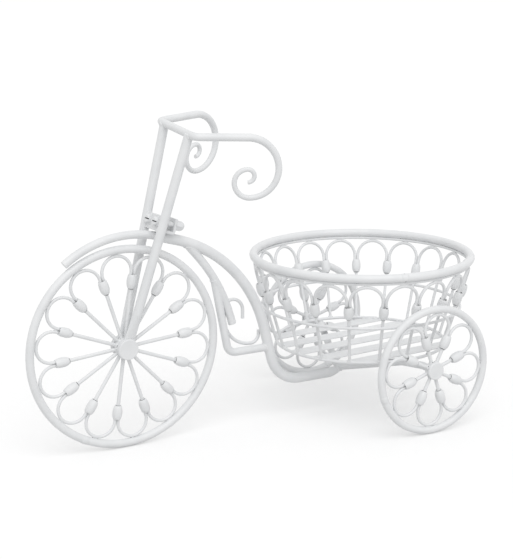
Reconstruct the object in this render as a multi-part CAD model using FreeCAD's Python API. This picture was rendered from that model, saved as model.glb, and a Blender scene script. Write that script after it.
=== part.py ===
"""Tricycle plant stand: a bent-rod tricycle with petal wheels that carries a round wire basket.

Lengths are in millimetres and angles in degrees. X runs along the stand with the front wheel towards -X,
Y runs across it with the stand's left side towards -Y, and Z points up. The origin lies on the floor,
under the middle of the whole stand.
"""
import FreeCAD, Part
import math
import os

from collections import namedtuple
from FreeCAD import Vector

# Fits
running_clearance = 0.05
seat_gap = 0.05
side_play = 0.3

# Wheels
front_wheel_diameter = 200.0
front_rim_rod = 8.0
front_spoke_count = 14
front_spoke_start = 4.9
front_hub_diameter = 18.0
front_hub_length = 10.0
front_axle_diameter = 6.0
front_cap_diameter = 20.5
rear_wheel_diameter = 131.0
rear_rim_rod = 7.5
rear_spoke_count = 8
rear_spoke_start = 18.2
rear_hub_diameter = 16.0
rear_hub_length = 6.4
rear_axle_diameter = 4.5
rear_cap_diameter = 18.0
rear_wheel_gap = 1.0
hub_chamfer = 0.6
axle_cap_thickness = 2.2
axle_cap_floor = 0.8

# Wire work shared by the wheels and the basket
spoke_rod = 3.6
petal_wire = 3.2
petal_lead = 0.6
bead_length = 16.0
bead_wall = 0.8
bead_bulge = 1.3
bead_mouth_depth = 1.4
wire_insertion = 4.0

# Fork and handlebar
fork_lean = 15.9
fork_stem_length = 103.2
fork_leg_rod = 9.0
fork_top_spacing = 54.0
fork_eye_diameter = 20.0
fork_eye_thickness = 3.0
fork_eye_step = 0.2
fork_flat_width = 11.0
fork_flat_length = 35.0
handlebar_rod = 7.5
handlebar_tip_rod = 4.2
handlebar_overhang = 10.0
handlebar_corner_radius = 9.0
handlebar_splay = 19.0
handlebar_arm_length = 50.0
handlebar_roll = 5.5
handlebar_scroll_radii = (31.0, 27.0, 15.0, 12.5, 6.5, 6.0)

# Bolted joint between the fork and the frame
bridge_plate_thickness = 3.0
bracket_thickness = 2.5
bracket_depth = 16.0
bracket_height = 15.0
bracket_leg_gap = 0.6
bracket_bolt_height = 9.0
bolt_diameter = 5.0
bolt_hole_clearance = 0.2
bolt_head_diameter = 9.0
bolt_head_height = 3.2
bolt_slot_width = 1.2
bolt_slot_depth = 1.4
washer_diameter = 11.0
washer_thickness = 1.0
washer_overhang = 0.9
cap_nut_width = 9.5
cap_nut_skirt = 5.2
thread_clearance = 0.03

# Frame rods
mudguard_rod = 8.0
mudguard_gap = 7.0
mudguard_sweep = 52.5
mudguard_insertion = 14.0
main_tube_wall = 1.15
main_tube_joint_behind_fork = 7.2
main_tube_front_run = 20.5
main_tube_lean = 14.7
main_tube_heel_behind_rim = 69.4
main_tube_heel_radius = 33.5
main_tube_bottom_run = 73.6
main_tube_below_apex = 4.5
main_tube_end_chamfer = 14.0
tail_rod = 8.0
tail_start_ahead_of_rim = 34.0
tail_knee_behind_rim = 6.0
tail_knee_rise = 50.0
tail_end_behind_rim = 17.5
tail_end_rise = 8.0
tail_end_run = 4.0
down_tube_rod = 8.0
down_tube_start_rise = 61.0
down_tube_corner_behind_rim = 13.0
down_tube_corner_drop = 22.0
down_tube_corner_radius = 10.0
scroll_wire = 3.5
scroll_side_behind_rim = 11.5
scroll_crown_rise = 31.0
scroll_crown_radius = 9.0
scroll_hook_radius = 12.0
scroll_hook_drop = 9.0
scroll_bowl_drop = 17.0
scroll_bottom_run = 0.5
scroll_lift_radius = 9.0

# Rear yoke
yoke_rod = 7.5
yoke_drop = 21.0
yoke_apex_ahead_of_axle = 38.0
yoke_apex_radius = 18.0
yoke_knee_ahead_of_axle = 10.0
yoke_knee_out = 76.0
yoke_knee_radius = 20.0
yoke_stub_length = 14.5
yoke_elbow_radius = 14.0
axle_pin_seat = 11.0

# Basket
basket_axis_ahead_of_axle = 10.5
basket_rim_radius = 112.0
basket_rim_rod = 8.4
basket_depth = 91.05
basket_ring_wire = 3.0
basket_ring_inset = 1.2
basket_mid_ring_rise = 38.9
basket_bottom_radius = 88.0
basket_bottom_ring_wire = 3.2
basket_bottom_ring_lift = 0.05
basket_arch_count = 19
basket_arch_start = 2.4
basket_arch_lead = 4.6
basket_rib_wire = 3.0
slat_width = 23.0
slat_thickness = 1.2
slat_pitch = 30.0
slat_count = 5

# Directions
origin = Vector(0, 0, 0)
backward = Vector(1, 0, 0)
across = Vector(0, 1, 0)
upward = Vector(0, 0, 1)

# Sizes and places that follow from the values above
front_wheel_radius = front_wheel_diameter / 2
rear_axle_height = rear_wheel_diameter / 2
main_tube_bore = mudguard_rod + 2 * seat_gap
main_tube_diameter = main_tube_bore + 2 * main_tube_wall
mudguard_radius = front_wheel_radius + mudguard_gap + mudguard_rod / 2
fork_length = mudguard_radius + fork_stem_length
eye_middle = front_hub_length / 2 + side_play + fork_eye_thickness / 2
bead_bore_radius = petal_wire + 2 * seat_gap
bead_end_radius = bead_bore_radius + bead_wall
bead_radius = bead_end_radius + bead_bulge
main_tube_heel_back = front_wheel_radius + main_tube_heel_behind_rim
main_tube_bottom_height = rear_axle_height - yoke_drop - main_tube_below_apex
wheelbase = main_tube_heel_back + main_tube_bottom_run + yoke_apex_ahead_of_axle
basket_axis_back = wheelbase - basket_axis_ahead_of_axle
overall_length = front_wheel_radius + basket_axis_back + basket_rim_radius + basket_rim_rod / 2
front_hub_x = front_wheel_radius - overall_length / 2
front_hub = Vector(front_hub_x, 0, front_wheel_radius)
rear_hub_x = front_hub_x + wheelbase
basket_x = front_hub_x + basket_axis_back
bracket_underside = mudguard_radius + main_tube_diameter / 2 + seat_gap
bracket_front = bridge_plate_thickness / 2 + seat_gap
bolt_height = bracket_underside + bracket_bolt_height
slat_underside = rear_axle_height + yoke_rod / 2 + seat_gap
bottom_ring_height = rear_axle_height + (yoke_rod + basket_bottom_ring_wire) / 2 + basket_bottom_ring_lift
basket_rim_height = bottom_ring_height + basket_depth

BasketCone = namedtuple("BasketCone", "flare bisector_flare apex_height half_angle arch_top bead_mouth")


def frame_point(back, height, side=0.0):
    """Point of the frame, measured back from the front hub, up from the floor and across the stand."""
    return Vector(front_hub_x + back, side, height)


def behind_wheel(behind_rim, rise):
    """Point of the frame, measured back from the front wheel's rim and up from its hub."""
    return frame_point(front_wheel_radius + behind_rim, front_wheel_radius + rise)


def bend_radius(before, corner, after, straight_run):
    """Radius of the bend at a corner that leaves a straight run on the corner's shorter side."""
    half_opening = (before - corner).getAngle(after - corner) / 2
    shorter_side = min(before.distanceToPoint(corner), after.distanceToPoint(corner))
    return (shorter_side - straight_run) * math.tan(half_opening)


def rounded_path(points, radii):
    """Wire of straight runs whose inner corners are rounded by tangent arcs."""
    edges = []
    start = points[0]
    for before, corner, after, radius in zip(points, points[1:], points[2:], radii):
        to_before = (before - corner).normalize()
        to_after = (after - corner).normalize()
        half_opening = to_before.getAngle(to_after) / 2
        reach = radius / math.tan(half_opening)
        centre_line = (to_before + to_after).normalize()
        first = corner + to_before * reach
        last = corner + to_after * reach
        middle = corner + centre_line * (radius / math.sin(half_opening) - radius)
        if first.distanceToPoint(start) > 1e-6:
            edges.append(Part.makeLine(start, first))
        edges.append(Part.Arc(first, middle, last).toShape())
        start = last
    edges.append(Part.makeLine(start, points[-1]))
    return Part.Wire(edges)


def quarter_turns(start, heading, turn_towards, radii):
    """Wire of tangent quarter circles that all turn the same way."""
    edges = []
    for radius in radii:
        centre = start + turn_towards * radius
        middle = centre + (heading - turn_towards) * (radius * math.sqrt(0.5))
        end = centre + heading * radius
        edges.append(Part.Arc(start, middle, end).toShape())
        start = end
        heading, turn_towards = turn_towards, heading * -1
    return Part.Wire(edges)


def circle_across(wire, diameter, at_end=False):
    """Round section that stands square to a path at its start or end."""
    ordered = wire.OrderedEdges
    edge = ordered[-1] if at_end else ordered[0]
    vertices = wire.OrderedVertexes
    point = vertices[-1].Point if at_end else vertices[0].Point
    nearer_last = edge.valueAt(edge.LastParameter).distanceToPoint(point) < 1e-6
    parameter = edge.LastParameter if nearer_last else edge.FirstParameter
    return Part.Wire(Part.makeCircle(diameter / 2, point, edge.tangentAt(parameter)))


def bent_rod(wire, diameter, end_diameter=None):
    """Round rod along a path, of one thickness or drawn out evenly towards its end."""
    sweep = Part.BRepOffsetAPI.MakePipeShell(wire)
    sweep.add(circle_across(wire, diameter))
    if end_diameter is not None:
        sweep.add(circle_across(wire, end_diameter, at_end=True))
    sweep.build()
    sweep.makeSolid()
    return sweep.shape()


def straight_rod(start, end, diameter):
    """Round bar between two points."""
    run = end - start
    return Part.makeCylinder(diameter / 2, run.Length, start, run)


def across_bar(diameter, near, far):
    """Round bar along Y through the origin, from one side coordinate to another."""
    return Part.makeCylinder(diameter / 2, far - near, Vector(0, near, 0), across)


def turned_copies(shape, count, axis, start=0.0):
    """Copies of a shape spread evenly round an axis through the origin."""
    copies = []
    for index in range(count):
        copy = shape.copy()
        copy.rotate(origin, axis, start + 360.0 * index / count)
        copies.append(copy)
    return copies


def moved(shape, place):
    """Copy of a shape carried from the origin to a place."""
    copy = shape.copy()
    copy.translate(place)
    return copy


def on_fork(shape):
    """Carry a shape from the fork's upright frame to the leaning fork at the front hub."""
    copy = shape.copy()
    copy.rotate(origin, across, fork_lean)
    copy.translate(front_hub)
    return copy


def fork_place(behind, height, side=0.0):
    """Point given in the fork's frame: behind the fork's plane, up along the fork and across it."""
    lean = math.radians(fork_lean)
    back = behind * math.cos(lean) + height * math.sin(lean)
    rise = height * math.cos(lean) - behind * math.sin(lean)
    return front_hub + Vector(back, side, rise)


def petal_geometry(half_angle, top_distance):
    """Radius of a petal's arc and the distances to its centre and to where it meets the bead axes.

    The petal lies between two bead axes that meet at an apex. Its arc touches a line half a wire
    inside each axis, and its crown reaches the given distance from the apex.
    """
    wire_offset = petal_wire / 2 + seat_gap
    centre_distance = (top_distance + wire_offset) / (1 + math.sin(half_angle))
    radius = top_distance - centre_distance
    touch_distance = centre_distance * math.cos(half_angle)
    return radius, centre_distance, touch_distance


def petal_rod(half_angle, top_distance, lead):
    """Petal wire in the XZ plane, its apex at the origin and its crown on the X axis."""
    radius, centre_distance, _ = petal_geometry(half_angle, top_distance)
    crown = Vector(top_distance, 0, 0)
    along_axis = Vector(math.cos(half_angle), 0, math.sin(half_angle))
    outward = Vector(-math.sin(half_angle), 0, math.cos(half_angle))
    upper_touch = Vector(centre_distance, 0, 0) + outward * radius
    upper_end = upper_touch - along_axis * (lead + wire_insertion)
    lower_touch = Vector(upper_touch.x, 0, -upper_touch.z)
    lower_end = Vector(upper_end.x, 0, -upper_end.z)
    edges = [
        Part.makeLine(upper_end, upper_touch),
        Part.Arc(upper_touch, crown, lower_touch).toShape(),
        Part.makeLine(lower_touch, lower_end),
    ]
    return bent_rod(Part.Wire(edges), petal_wire)


def bead(stem_diameter):
    """Barrel bead along X, its petal mouth at the origin and its stem mouth towards -X."""
    stem_bore_radius = stem_diameter / 2 + seat_gap
    back = -bead_length
    recess = back + bead_mouth_depth
    step = -wire_insertion - seat_gap
    petal_edge = Vector(0, 0, bead_end_radius)
    stem_edge = Vector(back, 0, bead_end_radius)
    barrel = Part.Arc(petal_edge, Vector(back / 2, 0, bead_radius), stem_edge).toShape()
    inside = Part.makePolygon([
        stem_edge,
        Vector(back, 0, bead_bore_radius),
        Vector(recess, 0, bead_bore_radius),
        Vector(recess, 0, stem_bore_radius),
        Vector(step, 0, stem_bore_radius),
        Vector(step, 0, bead_bore_radius),
        Vector(0, 0, bead_bore_radius),
        petal_edge,
    ])
    return Part.Face(Part.Wire([barrel, *inside.Edges])).revolve(origin, backward, 360)


def wheel(diameter, rim_rod, spoke_count, spoke_start, hub_diameter, hub_length, axle_diameter):
    """Pieces of one wheel about the origin, its axle along Y."""
    half_angle = math.pi / spoke_count
    rim_radius = (diameter - rim_rod) / 2
    crown = rim_radius - rim_rod / 2 - petal_wire / 2 - seat_gap
    touch_distance = petal_geometry(half_angle, crown)[2]
    bead_mouth = touch_distance - petal_lead
    spoke_end = bead_mouth - wire_insertion - 2 * seat_gap
    spoke = straight_rod(Vector(hub_diameter / 2 + seat_gap, 0, 0), Vector(spoke_end, 0, 0), spoke_rod)
    one_bead = moved(bead(spoke_rod), Vector(bead_mouth, 0, 0))
    petal = petal_rod(half_angle, crown, petal_lead)
    hub = across_bar(hub_diameter, -hub_length / 2, hub_length / 2)
    hub = hub.makeChamfer(hub_chamfer, [edge for edge in hub.Edges if edge.Closed])
    hub = hub.cut(across_bar(axle_diameter + 2 * running_clearance, -hub_length, hub_length))
    petal_start = spoke_start + 180.0 / spoke_count
    from_back_to_top = across * -1
    return {
        "rim": [Part.makeTorus(rim_radius, rim_rod / 2, origin, across)],
        "hub": [hub],
        "spokes": turned_copies(spoke, spoke_count, from_back_to_top, spoke_start),
        "beads": turned_copies(one_bead, spoke_count, from_back_to_top, spoke_start),
        "petals": turned_copies(petal, spoke_count, from_back_to_top, petal_start),
    }


def placed_wheel(name, pieces, place):
    """Nodes of one wheel, carried to its hub."""
    nodes = {}
    for piece, shapes in pieces.items():
        nodes[name + "_" + piece] = [moved(shape, place) for shape in shapes]
    return nodes


def axle_cap(diameter, inner, axle_end, axle_diameter):
    """Shallow round cap along +Y over the end of an axle, its outer edge rounded."""
    rounding = axle_cap_thickness / 2
    cap = across_bar(diameter, inner, inner + axle_cap_thickness)
    outer_edges = [edge for edge in cap.Edges if edge.Closed and edge.CenterOfMass.y > inner + rounding]
    cap = cap.makeFillet(rounding, outer_edges)
    return cap.cut(across_bar(axle_diameter + 2 * seat_gap, inner, axle_end + seat_gap))


def mirrored(shape):
    """Copy of a shape on the other side of the stand's middle plane."""
    return shape.mirror(origin, across)


def front_axle():
    """Front axle rod and the two caps that hold it in the fork's eyes."""
    cap_inner = eye_middle + fork_eye_thickness / 2 + seat_gap
    axle_end = cap_inner + axle_cap_thickness - axle_cap_floor
    cap = axle_cap(front_cap_diameter, cap_inner, axle_end, front_axle_diameter)
    return {
        "front_axle": [moved(across_bar(front_axle_diameter, -axle_end, axle_end), front_hub)],
        "front_axle_caps": [moved(mirrored(cap), front_hub), moved(cap, front_hub)],
    }


def flat_section(height):
    """Section of a fork leg's flattened end, in the fork's frame."""
    middle = Vector(0, eye_middle, height)
    side_point = middle + backward * (fork_flat_width / 2)
    face_point = middle + across * (fork_eye_thickness / 2 - fork_eye_step)
    return Part.Wire(Part.Ellipse(side_point, face_point, middle).toShape())


def fork_leg(height):
    """Right fork leg in the fork's frame up to a height, its lower end pressed flat into an eye."""
    foot = Vector(0, eye_middle, 0)
    head = Vector(0, leg_axis_side(height), height)
    run = (head - foot).normalize()
    tube_start = foot + run * fork_flat_length
    tube = straight_rod(tube_start, head, fork_leg_rod)
    flat_height = front_cap_diameter / 2 + side_play
    strip = Part.Face(flat_section(0)).extrude(upward * flat_height)
    round_section = Part.Wire(Part.makeCircle(fork_leg_rod / 2, tube_start, run))
    flattened = Part.makeLoft([flat_section(flat_height), round_section], True)
    half_eye = fork_eye_thickness / 2
    eye = across_bar(fork_eye_diameter, eye_middle - half_eye, eye_middle + half_eye)
    leg = tube.fuse([flattened, strip, eye]).removeSplitter()
    return leg.cut(across_bar(front_axle_diameter + 2 * seat_gap, 0, 2 * eye_middle))


def handlebar(diameter, tip_diameter):
    """Handlebar rod: a crosspiece, two splayed arms and a drawn-out scroll on each, rolled to the left."""
    splay = math.radians(handlebar_splay)
    corners = []
    arm_ends = []
    scrolls = []
    for side in (-1, 1):
        corner = fork_place(0, fork_length, side * (fork_top_spacing / 2 + handlebar_overhang))
        heading = Vector(math.cos(splay), side * math.sin(splay), 0)
        arm_end = corner + heading * handlebar_arm_length
        corners.append(corner)
        arm_ends.append(arm_end)
        scroll = quarter_turns(arm_end, heading, upward * -1, handlebar_scroll_radii)
        scrolls.append(bent_rod(scroll, diameter, tip_diameter))
    path = rounded_path([arm_ends[0], *corners, arm_ends[1]], [handlebar_corner_radius] * 2)
    bar = bent_rod(path, diameter).fuse(scrolls).removeSplitter()
    bar.rotate(fork_place(0, fork_length), backward, handlebar_roll)
    return bar


def fork_and_handlebar():
    """Handlebar, both fork legs coped under it, and the plate that bridges the legs."""
    bar_room = handlebar(handlebar_rod + 2 * seat_gap, handlebar_tip_rod + 2 * seat_gap)
    bar_rise = fork_top_spacing / 2 * math.sin(math.radians(handlebar_roll)) / math.cos(math.radians(fork_lean))
    left_leg = mirrored(on_fork(fork_leg(fork_length - bar_rise))).cut(bar_room)
    right_leg = on_fork(fork_leg(fork_length + bar_rise)).cut(bar_room)
    return {
        "handlebar": [handlebar(handlebar_rod, handlebar_tip_rod)],
        "fork_left_leg": [left_leg],
        "fork_right_leg": [right_leg],
        "fork_bridge_plate": [bridge_plate()],
    }


def leg_axis_side(height):
    """Distance of a leg's axis from the middle plane at a height along the fork."""
    return eye_middle + (fork_top_spacing / 2 - eye_middle) * height / fork_length


def bracket_half_width():
    """Half the width of the bracket, which fits between the fork legs."""
    return leg_axis_side(bracket_underside) - fork_leg_rod / 2 - bracket_leg_gap


def bolt_places(behind):
    """Bolt axes of the bracket in the fork's frame, at a distance behind the fork's plane."""
    side = bracket_half_width() + washer_overhang - washer_diameter / 2
    return [Vector(behind, -side, bolt_height), Vector(behind, side, bolt_height)]


def bolt_holes():
    """Cutters for the bracket's bolt holes, in the fork's frame."""
    radius = bolt_diameter / 2 + bolt_hole_clearance
    reach = 2 * bracket_depth
    return [Part.makeCylinder(radius, 2 * reach, place, backward) for place in bolt_places(-reach)]


def bridge_plate():
    """Plate welded between the fork legs, drilled for the two bolts."""
    low = bracket_underside
    high = bracket_underside + bracket_height
    front = -bridge_plate_thickness / 2
    corners = [
        Vector(front, -leg_axis_side(low), low),
        Vector(front, leg_axis_side(low), low),
        Vector(front, leg_axis_side(high), high),
        Vector(front, -leg_axis_side(high), high),
    ]
    plate = Part.Face(Part.makePolygon(corners + corners[:1])).extrude(backward * bridge_plate_thickness)
    foot = Vector(0, eye_middle, 0)
    head = Vector(0, fork_top_spacing / 2, fork_length)
    right_room = straight_rod(foot, head, fork_leg_rod + 2 * seat_gap)
    return on_fork(plate.cut([right_room, mirrored(right_room), *bolt_holes()]))


def head_bracket():
    """Bent channel on the frame: two drilled flanges across the bolts, joined by a web below."""
    width = 2 * bracket_half_width()
    outer_corner = Vector(bracket_front, -width / 2, bracket_underside)
    outer = Part.makeBox(bracket_depth, width, bracket_height, outer_corner)
    bends = [
        edge for edge in outer.Edges
        if abs(edge.CenterOfMass.z - bracket_underside) < 1e-6 and abs(edge.CenterOfMass.y) < 1e-6
    ]
    outer = outer.makeFillet(bracket_thickness, bends)
    inner_corner = outer_corner + Vector(bracket_thickness, 0, bracket_thickness)
    inner = Part.makeBox(bracket_depth - 2 * bracket_thickness, width, bracket_height, inner_corner)
    return on_fork(outer.cut([inner, *bolt_holes()]))


def slotted_bolt(head_back, shank_end):
    """Round-headed slotted bolt along X, its head towards -X."""
    head_front = head_back - bolt_head_height
    head = straight_rod(Vector(head_front, 0, 0), Vector(head_back, 0, 0), bolt_head_diameter)
    rounding = bolt_head_height / 2
    front_edges = [edge for edge in head.Edges if edge.Closed and edge.CenterOfMass.x < head_front + rounding]
    head = head.makeFillet(rounding, front_edges)
    slot_corner = Vector(head_front, -bolt_head_diameter / 2, -bolt_slot_width / 2)
    slot = Part.makeBox(bolt_slot_depth, bolt_head_diameter, bolt_slot_width, slot_corner)
    shank = straight_rod(Vector(head_back, 0, 0), Vector(shank_end, 0, 0), bolt_diameter)
    return head.cut(slot).fuse(shank)


def plain_washer(front):
    """Flat washer across X."""
    front_place = Vector(front, 0, 0)
    back_place = Vector(front + washer_thickness, 0, 0)
    hole_diameter = bolt_diameter + 2 * bolt_hole_clearance
    return straight_rod(front_place, back_place, washer_diameter).cut(
        straight_rod(front_place, back_place, hole_diameter)
    )


def cap_nut(front):
    """Hexagonal nut along X with a closed dome towards +X."""
    front_place = Vector(front, 0, 0)
    dome_place = Vector(front + cap_nut_skirt, 0, 0)
    corner_radius = cap_nut_width / math.sqrt(3)
    corners = []
    for index in range(7):
        turn = math.radians(60 * index)
        corners.append(front_place + Vector(0, math.cos(turn), math.sin(turn)) * corner_radius)
    skirt = Part.Face(Part.makePolygon(corners)).extrude(backward * cap_nut_skirt)
    dome = Part.makeSphere(cap_nut_width / 2, dome_place, backward, 0, 90, 360)
    bore = straight_rod(front_place, dome_place + backward * seat_gap, bolt_diameter + 2 * thread_clearance)
    return skirt.fuse(dome).cut(bore)


def bracket_fasteners():
    """Slotted bolts, washers and domed cap nuts that clamp the bracket to the bridge plate."""
    washer_front = -bridge_plate_thickness / 2 - seat_gap - washer_thickness
    nut_front = bracket_front + bracket_depth + seat_gap
    shapes = {
        "bracket_bolts": slotted_bolt(washer_front - seat_gap, nut_front + cap_nut_skirt),
        "bracket_washers": plain_washer(washer_front),
        "bracket_cap_nuts": cap_nut(nut_front),
    }
    nodes = {}
    for name, shape in shapes.items():
        nodes[name] = [on_fork(moved(shape, place)) for place in bolt_places(0)]
    return nodes


def lean_back(height):
    """Distance behind the front hub of the main tube's leaning run, at a height above the floor."""
    rise = height - main_tube_bottom_height
    return main_tube_heel_back - rise * math.tan(math.radians(main_tube_lean))


def main_tube_path():
    """Path of the main tube from under the bracket, down the lean and back under the basket."""
    joint = fork_place(main_tube_joint_behind_fork, mudguard_radius)
    slope = math.tan(math.radians(fork_lean))
    tilt = math.tan(math.radians(main_tube_lean))
    joint_back = joint.x - front_hub_x
    run = (lean_back(joint.z) - joint_back) / (1 - slope * tilt)
    shoulder = frame_point(joint_back + run, joint.z - run * slope)
    heel = frame_point(main_tube_heel_back, main_tube_bottom_height)
    end = Vector(yoke_apex().x, 0, main_tube_bottom_height)
    shoulder_radius = bend_radius(joint, shoulder, heel, main_tube_front_run)
    return rounded_path([joint, shoulder, heel, end], [shoulder_radius, main_tube_heel_radius])


def main_tube(yoke_room):
    """Hollow main tube, coped and chamfered where it meets the yoke."""
    path = main_tube_path()
    tube = bent_rod(path, main_tube_diameter)
    bore = bent_rod(path, main_tube_bore)
    side = main_tube_diameter
    low_end = Vector(yoke_apex().x, -side, main_tube_bottom_height - main_tube_diameter / 2)
    chamfer_profile = Part.makePolygon([
        low_end - backward * main_tube_end_chamfer,
        low_end + backward * main_tube_end_chamfer,
        low_end + (backward + upward) * main_tube_end_chamfer,
        low_end - backward * main_tube_end_chamfer,
    ])
    chamfer = Part.Face(chamfer_profile).extrude(across * (2 * side))
    return tube.cut([bore, chamfer, yoke_room])


def mudguard():
    """Front mudguard rod: an arc over the wheel, its rear end plugged into the main tube."""
    lean = math.radians(fork_lean)
    plug_end = fork_place(main_tube_joint_behind_fork + mudguard_insertion, mudguard_radius)
    joint = fork_place(main_tube_joint_behind_fork, mudguard_radius)
    centre = fork_place(main_tube_joint_behind_fork, 0)
    arc_points = []
    for sweep in (mudguard_sweep / 2, mudguard_sweep):
        turn = lean - math.radians(sweep)
        arc_points.append(centre + Vector(math.sin(turn), 0, math.cos(turn)) * mudguard_radius)
    edges = [Part.makeLine(plug_end, joint), Part.Arc(joint, *arc_points).toShape()]
    return bent_rod(Part.Wire(edges), mudguard_rod)


def tail_start():
    """Point on the main tube's long bend where the mudguard tail leaves it."""
    start = behind_wheel(-tail_start_ahead_of_rim, 0)
    bend = [edge for edge in main_tube_path().Edges if edge.Curve.TypeId == "Part::GeomCircle"][0]
    centre = bend.Curve.Center
    start.z = centre.z + math.sqrt(bend.Curve.Radius ** 2 - (start.x - centre.x) ** 2)
    return start


def mudguard_tail(diameter):
    """Tail rod that leaves the main tube and follows the wheel down behind it."""
    start = tail_start()
    knee = behind_wheel(tail_knee_behind_rim, tail_knee_rise)
    end = behind_wheel(tail_end_behind_rim, tail_end_rise)
    return bent_rod(rounded_path([start, knee, end], [bend_radius(start, knee, end, tail_end_run)]), diameter)


def down_tube():
    """Down tube from the mudguard tail, round a tight corner to the main tube."""
    upper = tail_start()
    knee = behind_wheel(tail_knee_behind_rim, tail_knee_rise)
    share = (down_tube_start_rise - tail_knee_rise) / (upper.z - knee.z)
    start = knee + (upper - knee) * share
    corner = behind_wheel(down_tube_corner_behind_rim, -down_tube_corner_drop)
    end = frame_point(lean_back(corner.z), corner.z)
    return bent_rod(rounded_path([start, corner, end], [down_tube_corner_radius]), down_tube_rod)


def largest_solid(shape):
    """The main piece that a cut leaves, without the offcut on the far side of the cutter."""
    return max(shape.Solids, key=lambda solid: solid.Volume)


def frame_scroll():
    """Scroll wire on the far side of the frame, from a free hook round a bowl to the main tube."""
    side = (tail_rod + scroll_wire) / 2 + seat_gap
    reach = (main_tube_diameter + scroll_wire) / 2 + seat_gap
    standoff = math.sqrt(max(reach ** 2 - side ** 2, 0)) / math.cos(math.radians(main_tube_lean))
    crown = behind_wheel(scroll_side_behind_rim, scroll_crown_rise)
    bowl_height = front_wheel_radius - scroll_bowl_drop
    end_height = bowl_height + scroll_lift_radius + scroll_wire
    end_x = front_hub_x + lean_back(end_height) - standoff
    hook_x = crown.x + scroll_crown_radius + scroll_hook_radius
    hook_height = crown.z - scroll_hook_radius - scroll_hook_drop
    bowl_radius = end_x - crown.x - scroll_lift_radius - scroll_bottom_run
    points = [
        Vector(hook_x, side, hook_height),
        Vector(hook_x, side, crown.z),
        Vector(crown.x, side, crown.z),
        Vector(crown.x, side, bowl_height),
        Vector(end_x, side, bowl_height),
        Vector(end_x, side, end_height),
    ]
    radii = [scroll_hook_radius, scroll_crown_radius, bowl_radius, scroll_lift_radius]
    return bent_rod(rounded_path(points, radii), scroll_wire)


def half_track():
    """Distance of a rear wheel's plane from the middle, clear of the widest beads of the basket."""
    cone = basket_cone()
    middle = cone.bead_mouth - bead_length / 2
    middle_reach = middle * math.sin(cone.flare) + bead_radius * math.cos(cone.flare)
    mouth_reach = cone.bead_mouth * math.sin(cone.flare) + bead_end_radius * math.cos(cone.flare)
    return max(middle_reach, mouth_reach) + rear_wheel_gap + rear_rim_rod / 2


def stub_end():
    """Distance of a yoke stub's end from the middle plane, just inside the wheel's hub."""
    return half_track() - rear_hub_length / 2 - side_play


def yoke_points():
    """Corners of the rear yoke from the right stub, over the apex under the basket, to the left stub."""
    right = [
        frame_point(wheelbase, rear_axle_height, stub_end()),
        frame_point(wheelbase, rear_axle_height, stub_end() - yoke_stub_length),
        frame_point(wheelbase - yoke_knee_ahead_of_axle, rear_axle_height, yoke_knee_out),
    ]
    apex = frame_point(wheelbase - yoke_apex_ahead_of_axle, rear_axle_height - yoke_drop)
    left = [Vector(point.x, -point.y, point.z) for point in reversed(right)]
    return [*right, apex, *left]


def yoke_path():
    """Path of the rear yoke's rod."""
    radii = [yoke_elbow_radius, yoke_knee_radius, yoke_apex_radius, yoke_knee_radius, yoke_elbow_radius]
    return rounded_path(yoke_points(), radii)


def yoke_apex():
    """Middle of the yoke's rounded apex."""
    knee, apex = yoke_points()[2:4]
    to_knee = (knee - apex).normalize()
    inward = Vector(to_knee.x, 0, to_knee.z)
    half_opening = math.acos(inward.Length)
    drop = yoke_apex_radius / math.sin(half_opening) - yoke_apex_radius
    return apex + inward.normalize() * drop


def rear_axle_parts():
    """Axle pins seated in the yoke's stubs, and the caps that keep the rear wheels on."""
    cap_inner = half_track() + rear_hub_length / 2 + side_play
    pin_end = cap_inner + axle_cap_thickness - axle_cap_floor
    place = Vector(rear_hub_x, 0, rear_axle_height)
    pin = moved(across_bar(rear_axle_diameter, stub_end() - axle_pin_seat, pin_end), place)
    cap = moved(axle_cap(rear_cap_diameter, cap_inner, pin_end, rear_axle_diameter), place)
    return {
        "rear_left_axle_pin": [mirrored(pin)],
        "rear_right_axle_pin": [pin],
        "rear_left_axle_cap": [mirrored(cap)],
        "rear_right_axle_cap": [cap],
    }


def rear_yoke():
    """Bent yoke rod that carries both rear wheels and the basket, drilled for the axle pins."""
    place = Vector(rear_hub_x, 0, rear_axle_height)
    socket_floor = stub_end() - axle_pin_seat - seat_gap
    socket = moved(across_bar(rear_axle_diameter + 2 * seat_gap, socket_floor, stub_end()), place)
    return bent_rod(yoke_path(), yoke_rod).cut([socket, mirrored(socket)])


def frame():
    """Frame rods, the bracket at their front and the yoke at their rear."""
    yoke_room = bent_rod(yoke_path(), yoke_rod + 2 * seat_gap)
    main_room = bent_rod(main_tube_path(), main_tube_diameter + 2 * seat_gap)
    tail = mudguard_tail(tail_rod).cut(main_room)
    tail_room = mudguard_tail(tail_rod + 2 * seat_gap)
    return {
        "head_bracket": [head_bracket()],
        "main_tube": [main_tube(yoke_room)],
        "mudguard": [mudguard()],
        "mudguard_tail": [tail],
        "down_tube": [largest_solid(down_tube().cut([main_room, tail_room]))],
        "frame_scroll": [frame_scroll()],
        "rear_yoke": [rear_yoke()],
    }


def top_ring_height():
    """Height of the wire ring that lies just under the basket's rim, a little inside it."""
    rim_reach = (basket_rim_rod + basket_ring_wire) / 2 + seat_gap
    return basket_rim_height - math.sqrt(rim_reach ** 2 - basket_ring_inset ** 2)


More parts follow.
